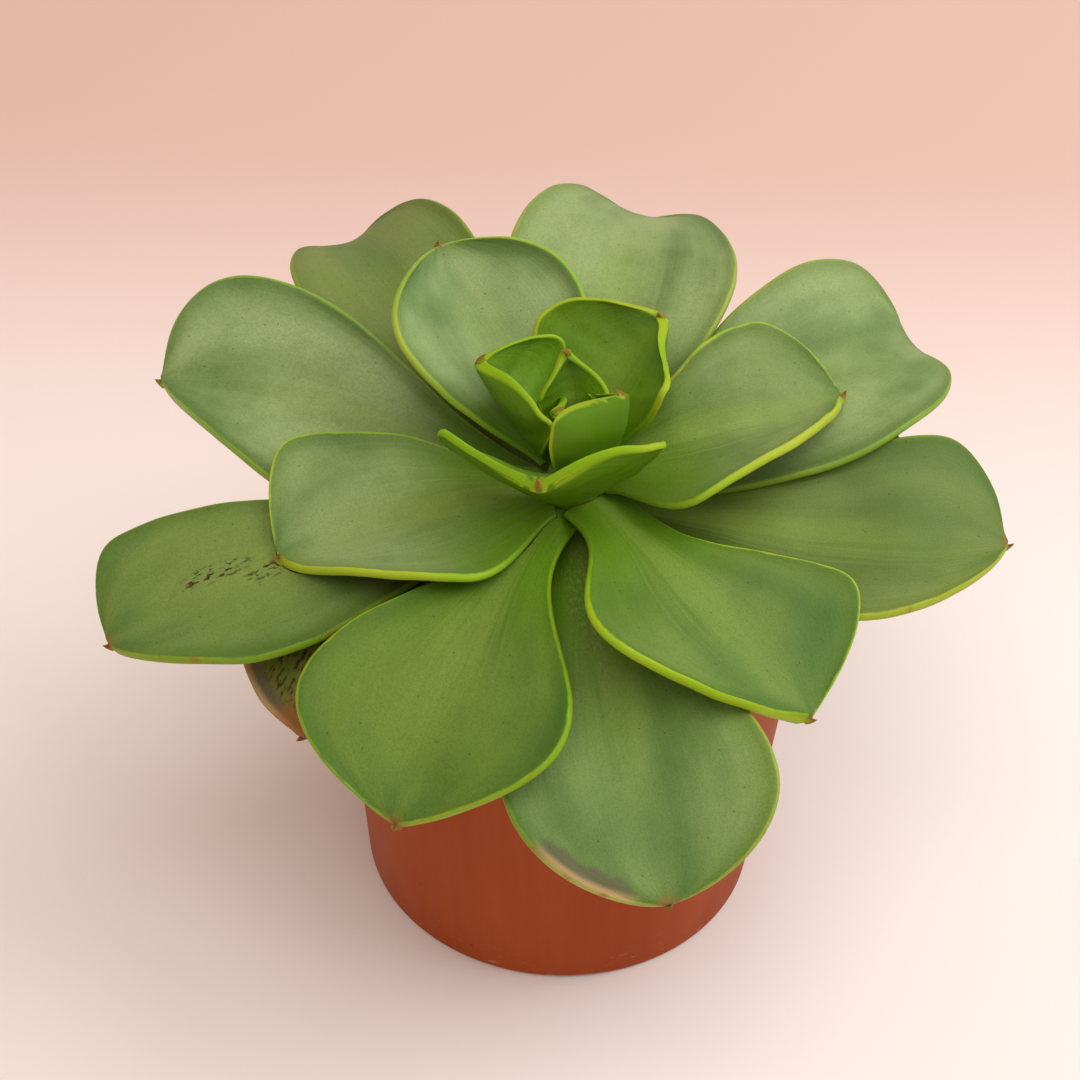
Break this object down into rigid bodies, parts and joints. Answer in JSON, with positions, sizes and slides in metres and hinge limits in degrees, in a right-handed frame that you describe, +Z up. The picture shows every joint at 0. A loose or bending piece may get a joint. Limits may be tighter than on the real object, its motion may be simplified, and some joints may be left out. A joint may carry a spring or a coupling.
{
  "type": "potted succulent",
  "caption": "Rosette succulent with thick spoon-shaped leaves on a short leaning stem, growing in a plain tapered round plastic nursery pot.",
  "frame": {"origin": "centre of the pot's flat underside, on the surface it stands on", "axes": "+Z up along the pot's axis; -Y towards the side the crown leans to, with a drain channel just to its right; +X to the right as seen from that side"},
  "size_m": [0.1963, 0.1834, 0.1432],
  "materials": {
    "pot": "satin",
    "soil": "matte",
    "stem": "matte",
    "leaf": "satin",
    "leaf_heart": "satin",
    "leaf_old": "matte"
  },
  "bodies": {
    "root": {"pot": "pot", "soil": "soil", "stem": "stem", "leaf_bud": "leaf_heart", "leaf_heart_back": "leaf_heart", "leaf_heart_right": "leaf_heart", "leaf_heart_left": "leaf_heart", "leaf_inner_right": "leaf", "leaf_inner_left": "leaf", "leaf_inner_front": "leaf", "leaf_upper_right": "leaf", "leaf_upper_left": "leaf", "leaf_front_right": "leaf", "leaf_back": "leaf", "leaf_front_left": "leaf", "leaf_right": "leaf", "leaf_left": "leaf", "leaf_front": "leaf", "leaf_back_right": "leaf", "leaf_lower_left": "leaf", "leaf_back_left": "leaf", "leaf_old_left": "leaf_old", "leaf_old_right": "leaf_old"}
  },
  "joints": []
}
